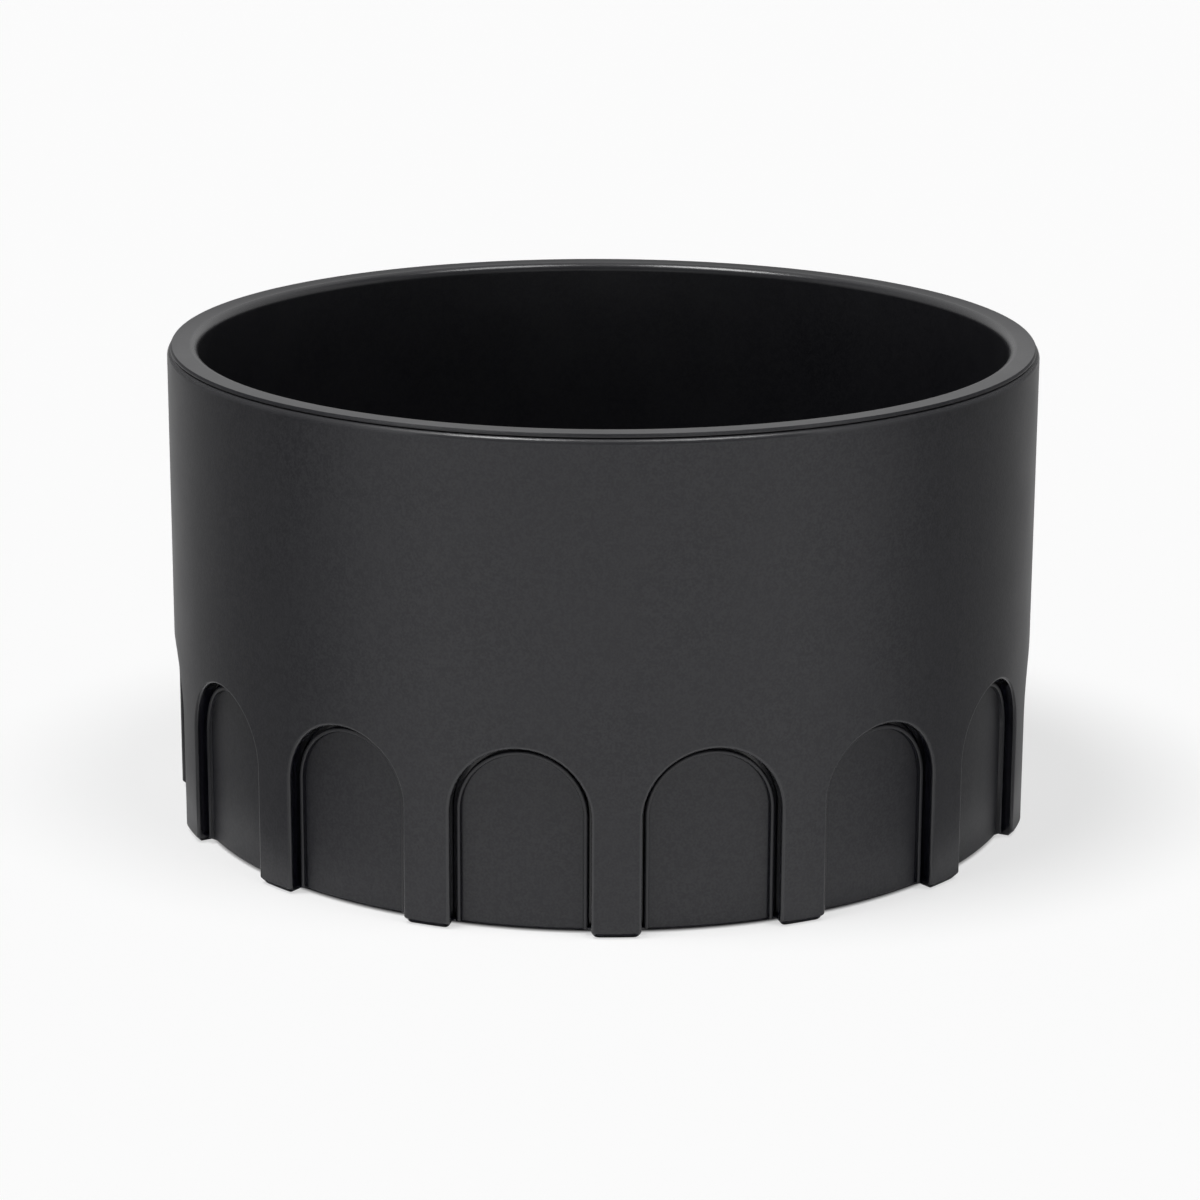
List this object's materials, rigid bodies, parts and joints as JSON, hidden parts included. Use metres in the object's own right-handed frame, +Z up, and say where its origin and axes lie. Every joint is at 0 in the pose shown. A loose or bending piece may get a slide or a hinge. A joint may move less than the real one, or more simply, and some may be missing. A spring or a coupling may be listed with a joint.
{
  "type": "coffee capsule holder",
  "caption": "Round open holder for loose coffee capsules: an arcaded sleeve on short feet, a band of beaded panels behind its arches, and a flat-rimmed tub that lifts out.",
  "frame": {"origin": "centre of the circle of feet, on the surface that the holder stands on", "axes": "+Z up along the holder's axis, -Y through the middle of one pillar, which faces the picture's camera"},
  "size_m": [0.184, 0.184, 0.1013],
  "materials": {
    "sleeve": "black, fine moulded grain, satin sheen",
    "panel_band": "black, fine moulded grain, satin sheen",
    "tub": "black, smooth satin rim, matte inside"
  },
  "bodies": {
    "holder": {"sleeve": "sleeve", "panel_band": "panel_band"},
    "tub": {"tub": "tub"}
  },
  "joints": [
    {"name": "tub_lift", "type": "slide", "parent": "holder", "child": "tub", "axis": [0, 0, 1], "range_m": [0, 0.11]}
  ]
}
